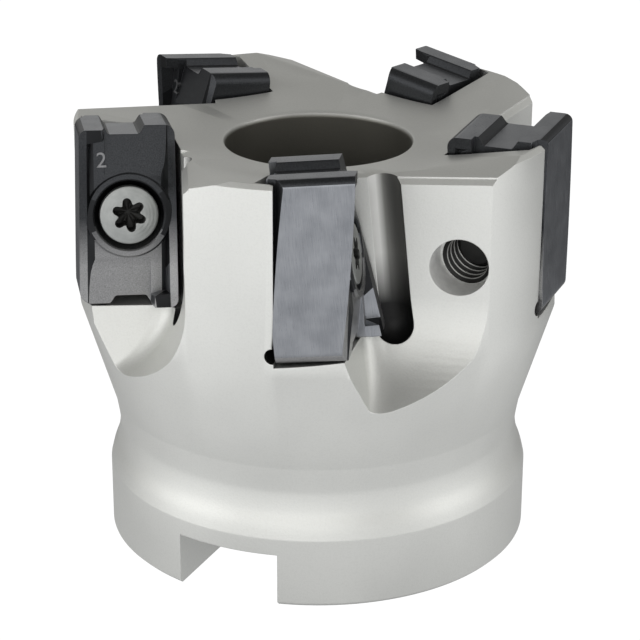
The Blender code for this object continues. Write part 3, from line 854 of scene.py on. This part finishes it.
def digit_mesh(carbide):
    bm = bmesh.new()
    add_digit(bm, "2", *DIGIT_TWO_PLACE)
    add_digit(bm, "1", *DIGIT_ONE_PLACE)
    mesh = bpy.data.meshes.new("insert_digits")
    bm.to_mesh(mesh)
    bm.free()
    mesh.materials.clear()
    mesh.materials.append(carbide)
    return mesh


def make_digits(index, mesh):
    digits = link("insert_digits_%d" % (index + 1), mesh.copy())
    digits.matrix_world = tooth_frame(index) @ insert_frame()
    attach(digits, "root")


def make_insert(index, mesh):
    insert = link("insert_piece_%d" % (index + 1), mesh.copy())
    insert.matrix_world = tooth_frame(index) @ insert_frame()
    shade_by_angle(insert, 25.0)
    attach(insert, "root")
    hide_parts("insert_%d" % (index + 1))


# Insert screws.


def screw_profile():
    """Half section as (radius, height), from the middle of the head down to the tip."""
    head = SCREW_HEAD_DIAMETER / 2
    shank = SCREW_SHANK_DIAMETER / 2
    cone = (head - shank) / math.tan(math.radians(SCREW_HEAD_CONE))
    profile = [(0.0, 0.0)]
    profile += [(head - inset, -depth) for inset, depth in HEAD_ROUNDING]
    profile += [
        (head, -SCREW_HEAD_RIM),
        (shank, -SCREW_HEAD_RIM - cone),
        (shank, -SCREW_LENGTH + SCREW_TIP_BEVEL),
        (shank - SCREW_TIP_BEVEL, -SCREW_LENGTH),
        (0.0, -SCREW_LENGTH),
    ]
    return profile


def socket_tool():
    """Six-lobed socket with a lead-in bevel and a coned floor."""
    levels = (
        (-SOCKET_DEPTH - SOCKET_CONE_DEPTH, -SOCKET_CONE_INSET),
        (-SOCKET_DEPTH, -SOCKET_DRAFT),
        (-SOCKET_BEVEL_DEPTH, 0.0),
        (0.02, SOCKET_BEVEL),
        (1.0, SOCKET_BEVEL),
    )
    rings = []
    for height, grow in levels:
        ring = []
        for step in range(SMALL_TURN_STEPS):
            angle = 2 * math.pi * step / SMALL_TURN_STEPS
            turned = angle - math.radians(SOCKET_TURN)
            lobe = SOCKET_LOBE * math.cos(6 * turned) - SOCKET_LOBE_FLATTENING * math.cos(12 * turned)
            radius = max(SOCKET_LEAST_RADIUS, SOCKET_RADIUS + lobe + grow)
            ring.append(millimetres(radius * math.cos(angle), radius * math.sin(angle), height))
        rings.append(ring)
    bm = bmesh.new()
    add_loft(bm, rings)
    return mesh_object("socket_tool", bm)


def screw_mesh(steel, recess_shade_steel):
    """The socket's walls and the shank are dark: painted shade."""
    blank = finished(turned_object("screw_blank", screw_profile(), SMALL_TURN_STEPS), steel)
    socket = finished(socket_tool(), recess_shade_steel)
    combine(blank, socket, "DIFFERENCE")
    screw = settle(blank, "screw_mesh", [socket])
    mesh = screw.data
    bpy.data.objects.remove(screw)
    for face in mesh.polygons:
        # Painted shade: the shank below the head takes the near black material.
        if face.center.z < -2 * SCREW_HEAD_RIM * MM:
            face.material_index = 1
    return mesh


def make_screw(index, mesh):
    screw = link("screw_piece_%d" % (index + 1), mesh.copy())
    screw.matrix_world = tooth_frame(index) @ screw_frame()
    shade_by_angle(screw, 30.0)
    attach(screw, "root")
    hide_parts("insert_screw_%d" % (index + 1))


# Materials.


class Finish:
    """A material's nodes, with helpers that add to them; coords are the object's own, in metres."""

    def __init__(self, name):
        self.material = bpy.data.materials.new(name)
        self.material.use_nodes = True
        self.nodes = self.material.node_tree.nodes
        self.links = self.material.node_tree.links
        self.shader = self.nodes["Principled BSDF"]
        self.coords = self.nodes.new("ShaderNodeTexCoord").outputs["Object"]

    def feed(self, target, value):
        """Links a socket to an input, or sets the input to a number, colour or vector."""
        if isinstance(value, (float, tuple)):
            target.default_value = value
        else:
            self.links.new(value, target)

    def noise(self, coords, scale, detail):
        noise = self.nodes.new("ShaderNodeTexNoise")
        noise.inputs["Scale"].default_value = scale
        noise.inputs["Detail"].default_value = detail
        self.links.new(coords, noise.inputs["Vector"])
        return noise.outputs["Fac"]

    def ramp(self, value, low, high, first=0.0, last=1.0):
        """Runs from first to last while the value runs from low to high."""
        ramp = self.nodes.new("ShaderNodeMapRange")
        ramp.inputs["From Min"].default_value = low
        ramp.inputs["From Max"].default_value = high
        ramp.inputs["To Min"].default_value = first
        ramp.inputs["To Max"].default_value = last
        self.links.new(value, ramp.inputs["Value"])
        return ramp.outputs["Result"]

    def blend(self, factor, first, second):
        """Two colours mixed by a factor, each a socket or (red, green, blue); 0 gives the first."""
        mix = self.nodes.new("ShaderNodeMix")
        mix.data_type = "RGBA"
        self.links.new(factor, mix.inputs["Factor"])
        for name, colour in (("A", first), ("B", second)):
            self.feed(mix.inputs[name], (*colour, 1.0) if isinstance(colour, tuple) else colour)
        return mix.outputs["Result"]

    def vector(self, operation, *values):
        node = self.nodes.new("ShaderNodeVectorMath")
        node.operation = operation
        for target, value in zip(node.inputs, values):
            self.feed(target, value)
        return node

    def level(self, vector):
        """The vector without its height."""
        return self.vector("MULTIPLY", vector, (1.0, 1.0, 0.0)).outputs["Vector"]

    def from_axis(self):
        """Distance from the object's z axis."""
        return self.vector("LENGTH", self.level(self.coords)).outputs["Value"]

    def along(self, axis):
        split = self.nodes.new("ShaderNodeSeparateXYZ")
        self.links.new(self.coords, split.inputs["Vector"])
        return split.outputs[axis]

    def relief(self, height, strength, distance, edge_radius):
        """Fine relief over softly rounded edges."""
        bump = self.nodes.new("ShaderNodeBump")
        bump.inputs["Strength"].default_value = strength
        bump.inputs["Distance"].default_value = distance
        self.links.new(height, bump.inputs["Height"])
        rounded = self.nodes.new("ShaderNodeBevel")
        rounded.samples = 6
        rounded.inputs["Radius"].default_value = edge_radius
        self.links.new(rounded.outputs["Normal"], bump.inputs["Normal"])
        self.links.new(bump.outputs["Normal"], self.shader.inputs["Normal"])

    def done(self, colour, metallic, roughness):
        self.feed(self.shader.inputs["Base Color"], colour)
        self.feed(self.shader.inputs["Metallic"], metallic)
        self.feed(self.shader.inputs["Roughness"], roughness)
        return self.material


def clouded_material(name, scale, detail, dark, light, metallic, roughness):
    """A plain finish whose colour drifts between two tones."""
    made = Finish(name)
    cloud = made.noise(made.coords, scale, detail)
    return made.done(made.blend(cloud, dark, light), metallic, roughness)


def nickel_material():
    """Satin nickel plating: fine even grain, soft broad highlights, faint cloudiness.

    The bore is darkened in the colour as painted shade, and the narrow gaps round the inserts go near black
    as painted shade.
    """
    made = Finish("nickel_steel")
    cloud = made.noise(made.coords, 90.0, 2.0)
    grain = made.noise(made.coords, 5200.0, 3.0)
    plated = made.blend(cloud, (0.65, 0.655, 0.63), (0.75, 0.755, 0.73))
    speckle = made.ramp(grain, 0.45, 0.75, 0.0, 0.12)
    grainy = made.blend(speckle, plated, (0.45, 0.45, 0.43))
    # Painted shade: the colour darkens inside the bore of the screw recess.
    bore = SCREW_RECESS_DIAMETER / 2 * MM
    inside = made.ramp(made.from_axis(), bore + 0.22 * MM, bore + 0.02 * MM)
    shaded_base = made.blend(inside, grainy, (0.15, 0.145, 0.125))
    # Painted shade: tight gaps, found by ambient occlusion, turn the colour near black.
    gap_occlusion = made.nodes.new("ShaderNodeAmbientOcclusion")
    gap_occlusion.samples = 6
    gap_occlusion.inputs["Distance"].default_value = GAP_SHADE_REACH * MM
    gap_shade_mask = made.ramp(gap_occlusion.outputs["AO"], 0.30, 0.08)
    made.relief(grain, 0.4, 0.00003, 0.00012)
    return made.done(made.blend(gap_shade_mask, shaded_base, PAINTED_SHADE_BLACK), 0.8, made.ramp(cloud, 0.3, 0.7, 0.44, 0.52))


def groove_shade_material():
    """The pocket's wall groove, painted shade throughout: steel darker than the body, dark where it faces the
    insert and at its foot.
    """
    made = Finish("nickel_steel_groove_shade")
    cloud = made.noise(made.coords, 300.0, 2.0)
    shaded_base = made.blend(cloud, (0.56, 0.56, 0.54), (0.66, 0.66, 0.64))
    turn = made.nodes.new("ShaderNodeVectorRotate")
    turn.rotation_type = "Z_AXIS"
    turn.inputs["Angle"].default_value = math.radians(-90.0 - WALL_GROOVE_AZIMUTH)
    made.links.new(made.coords, turn.inputs["Vector"])
    against_cut = made.vector("NORMALIZE", made.level(turn.outputs["Vector"])).outputs["Vector"]
    normal = made.nodes.new("ShaderNodeNewGeometry").outputs["Normal"]
    facing = made.vector("DOT_PRODUCT", normal, against_cut).outputs["Value"]
    # Painted shade: dark where the groove faces the insert, near black towards its foot.
    insert_side_shade = made.blend(made.ramp(facing, 0.5, 0.8), shaded_base, (0.17, 0.17, 0.16))
    foot = made.ramp(made.along("Z"), GROOVE_SHADE_TOP * MM, GROOVE_SHADE_FOOT * MM)
    return made.done(made.blend(foot, insert_side_shade, PAINTED_SHADE_BLACK), 0.7, 0.45)


def recess_light_material():
    """Milled steel in the recesses where the screw holes come out, painted brighter: painted light."""
    tones = ((0.66, 0.66, 0.64), (0.94, 0.94, 0.92))
    return clouded_material("nickel_steel_recess_light", 1500.0, 3.0, *tones, 0.35, 0.35)


def recess_shade_material():
    """Near black steel inside the screw holes, the reliefs and the screws' sockets: painted shade."""
    tones = ((0.012, 0.012, 0.011), (0.03, 0.03, 0.028))
    return clouded_material("nickel_steel_recess_shade", 1200.0, 2.0, *tones, 0.4, 0.55)


def thread_material():
    """Tapped thread: flanks painted dark as shade, crests painted bright as a highlight."""
    made = Finish("nickel_steel_thread")
    crest = (SCREW_SHANK_DIAMETER / 2 + SCREW_CLEARANCE - THREAD_DEPTH) * MM
    # Painted highlight on the crests, painted shade on the flanks.
    crest_highlight = made.ramp(made.from_axis(), crest + 0.08 * MM, crest)
    return made.done(made.blend(crest_highlight, (0.02, 0.02, 0.019), (0.5, 0.5, 0.48)), 0.85, 0.4)


def pressed_carbide():
    """Coated, pressed rake face: near black, with a sintered grain; paler towards its lower end as painted
    light.
    """
    made = Finish("coated_carbide")
    grain = made.noise(made.coords, 9000.0, 3.0)
    dark = made.blend(grain, (0.010, 0.011, 0.013), (0.075, 0.078, 0.083))
    painted_light_tone = made.blend(grain, (0.12, 0.12, 0.122), (0.44, 0.44, 0.442))
    # Painted light: the face turns paler below its middle, where more light falls on it.
    lower = made.ramp(made.along("Z"), 0.0, -PAINTED_LIGHT_BELOW_MIDDLE * MM)
    made.relief(grain, 0.35, 0.00003, 0.00006)
    return made.done(made.blend(lower, dark, painted_light_tone), 0.9, made.ramp(grain, 0.3, 0.7, 0.32, 0.46))


def shadowed_carbide():
    """The chip groove, near black."""
    tones = ((0.006, 0.0065, 0.0075), (0.016, 0.017, 0.019))
    return clouded_material("coated_carbide_groove", 700.0, 2.0, *tones, 0.7, 0.4)


def digit_material():
    tones = ((0.14, 0.14, 0.145), (0.30, 0.30, 0.305))
    return clouded_material("coated_carbide_digits", 2500.0, 2.0, *tones, 0.9, 0.4)


def ground_carbide():
    """Ground flanks: lighter, with fine grinding lines along the insert."""
    made = Finish("coated_carbide_ground")
    stretch = made.nodes.new("ShaderNodeMapping")
    stretch.inputs["Scale"].default_value = (14000.0, 14000.0, 500.0)
    made.links.new(made.coords, stretch.inputs["Vector"])
    lines = made.noise(stretch.outputs["Vector"], 1.0, 3.0)
    cloud = made.noise(made.coords, 420.0, 4.0)
    base = made.blend(cloud, (0.13, 0.138, 0.153), (0.33, 0.34, 0.36))
    scratched = made.blend(made.ramp(lines, 0.4, 0.75, 0.0, 0.25), base, (0.42, 0.43, 0.45))
    made.relief(lines, 0.3, 0.00003, 0.00008)
    return made.done(scratched, 0.95, made.ramp(lines, 0.3, 0.7, 0.26, 0.38))


def screw_material():
    """Satin screw steel with faint turning rings on the head."""
    made = Finish("screw_steel")
    rings = made.nodes.new("ShaderNodeTexWave")
    rings.wave_type = "RINGS"
    rings.rings_direction = "Z"
    rings.inputs["Scale"].default_value = 900.0
    rings.inputs["Distortion"].default_value = 1.5
    made.links.new(made.coords, rings.inputs["Vector"])
    cloud = made.noise(made.coords, 900.0, 3.0)
    made.relief(rings.outputs["Fac"], 0.25, 0.00002, 0.00006)
    return made.done(made.blend(cloud, (0.24, 0.25, 0.245), (0.40, 0.41, 0.40)), 0.9, 0.42)


# Studio.


def white_to_camera(nodes, links, output, reflected):
    """Shows plain white to the camera and the reflected shader to every other ray."""
    path = nodes.new("ShaderNodeLightPath")
    white = nodes.new(reflected.bl_idname)
    white.inputs["Color"].default_value = (1.0, 1.0, 1.0, 1.0)
    white.inputs["Strength"].default_value = CAMERA_WHITE
    mix = nodes.new("ShaderNodeMixShader")
    links.new(path.outputs["Is Camera Ray"], mix.inputs["Fac"])
    links.new(reflected.outputs[0], mix.inputs[1])
    links.new(white.outputs[0], mix.inputs[2])
    links.new(mix.outputs["Shader"], output.inputs["Surface"])


def floor_material():
    """Pale floor showing plain white; the glow the mill reflects dims near and behind the mill: a painted
    shadow.
    """
    made = Finish("floor_white")
    made.nodes.remove(made.shader)
    # Painted shadow: the glow dims near the mill and behind it.
    level = made.nodes.new("ShaderNodeMath")
    level.operation = "MULTIPLY"
    made.links.new(made.ramp(made.from_axis(), *FLOOR_NEAR_TO_FAR, FLOOR_NEAR, FLOOR_FAR), level.inputs[0])
    made.links.new(made.ramp(made.along("Y"), *FLOOR_FRONT_TO_BACK, 1.0, FLOOR_SHADOW_BEHIND), level.inputs[1])
    glow = made.nodes.new("ShaderNodeEmission")
    glow.inputs["Color"].default_value = (0.985, 0.99, 1.0, 1.0)
    made.links.new(level.outputs["Value"], glow.inputs["Strength"])
    white_to_camera(made.nodes, made.links, made.nodes["Material Output"], glow)
    return made.material


def make_floor():
    bm = bmesh.new()
    bmesh.ops.create_grid(bm, x_segments=1, y_segments=1, size=FLOOR_SIZE)
    floor = finished(mesh_object("floor", bm), floor_material())
    floor.location.z = -FLOOR_BELOW


def make_world():
    """White to the camera; what the mill reflects is bright near the horizon and dimmer above."""
    world = bpy.data.worlds.new("studio")
    bpy.context.scene.world = world
    world.use_nodes = True
    nodes = world.node_tree.nodes
    links = world.node_tree.links
    nodes.clear()
    coords = nodes.new("ShaderNodeTexCoord")
    split = nodes.new("ShaderNodeSeparateXYZ")
    links.new(coords.outputs["Generated"], split.inputs["Vector"])
    ramp = nodes.new("ShaderNodeValToRGB")
    stops = ramp.color_ramp.elements
    stops.new(SKY_STOPS[1][0])
    for stop, (place, colour) in zip(stops, SKY_STOPS):
        stop.position = place
        stop.color = (*colour, 1.0)
    links.new(split.outputs["Z"], ramp.inputs["Fac"])
    soft = nodes.new("ShaderNodeBackground")
    links.new(ramp.outputs["Color"], soft.inputs["Color"])
    soft.inputs["Strength"].default_value = SKY_STRENGTH
    white_to_camera(nodes, links, nodes.new("ShaderNodeOutputWorld"), soft)


def looking_from(place, target):
    return (Vector(target) - Vector(place)).to_track_quat("-Z", "Y")


def make_lights():
    for name, place, size, power in LIGHTS:
        data = bpy.data.lights.new(name, "AREA")
        data.shape = "RECTANGLE"
        data.size = size[0]
        data.size_y = size[1]
        data.energy = power
        lamp = link(name, data)
        lamp.location = place
        lamp.rotation_euler = looking_from(place, LIGHT_TARGET).to_euler()


def make_camera():
    """Stands where the photograph was taken."""
    data = bpy.data.cameras.new("camera")
    data.sensor_width = CAMERA_SENSOR
    data.lens = CAMERA_LENS
    data.shift_x, data.shift_y = CAMERA_SHIFT
    data.clip_start = 0.01
    data.clip_end = 20.0
    camera = link("camera", data)
    look = looking_from(CAMERA_PLACE, CAMERA_TARGET).to_matrix().to_4x4()
    camera.matrix_world = Matrix.Translation(CAMERA_PLACE) @ look @ Matrix.Rotation(CAMERA_ROLL, 4, "Z")
    bpy.context.scene.camera = camera


def main():
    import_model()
    bpy.context.scene.view_settings.view_transform = "Standard"
    # Painted shade for the screw holes, the reliefs and the sockets.
    dark = recess_shade_material()
    make_body(nickel_material(), groove_shade_material(), dark, recess_light_material())
    thread = thread_material()
    insert = insert_mesh(pressed_carbide(), ground_carbide(), shadowed_carbide())
    digits = digit_mesh(digit_material())
    screw = screw_mesh(screw_material(), dark)
    for index in range(TOOTH_COUNT):
        make_thread(index, thread)
        make_insert(index, insert)
        make_digits(index, digits)
        make_screw(index, screw)
    make_floor()
    make_world()
    make_lights()
    make_camera()


main()
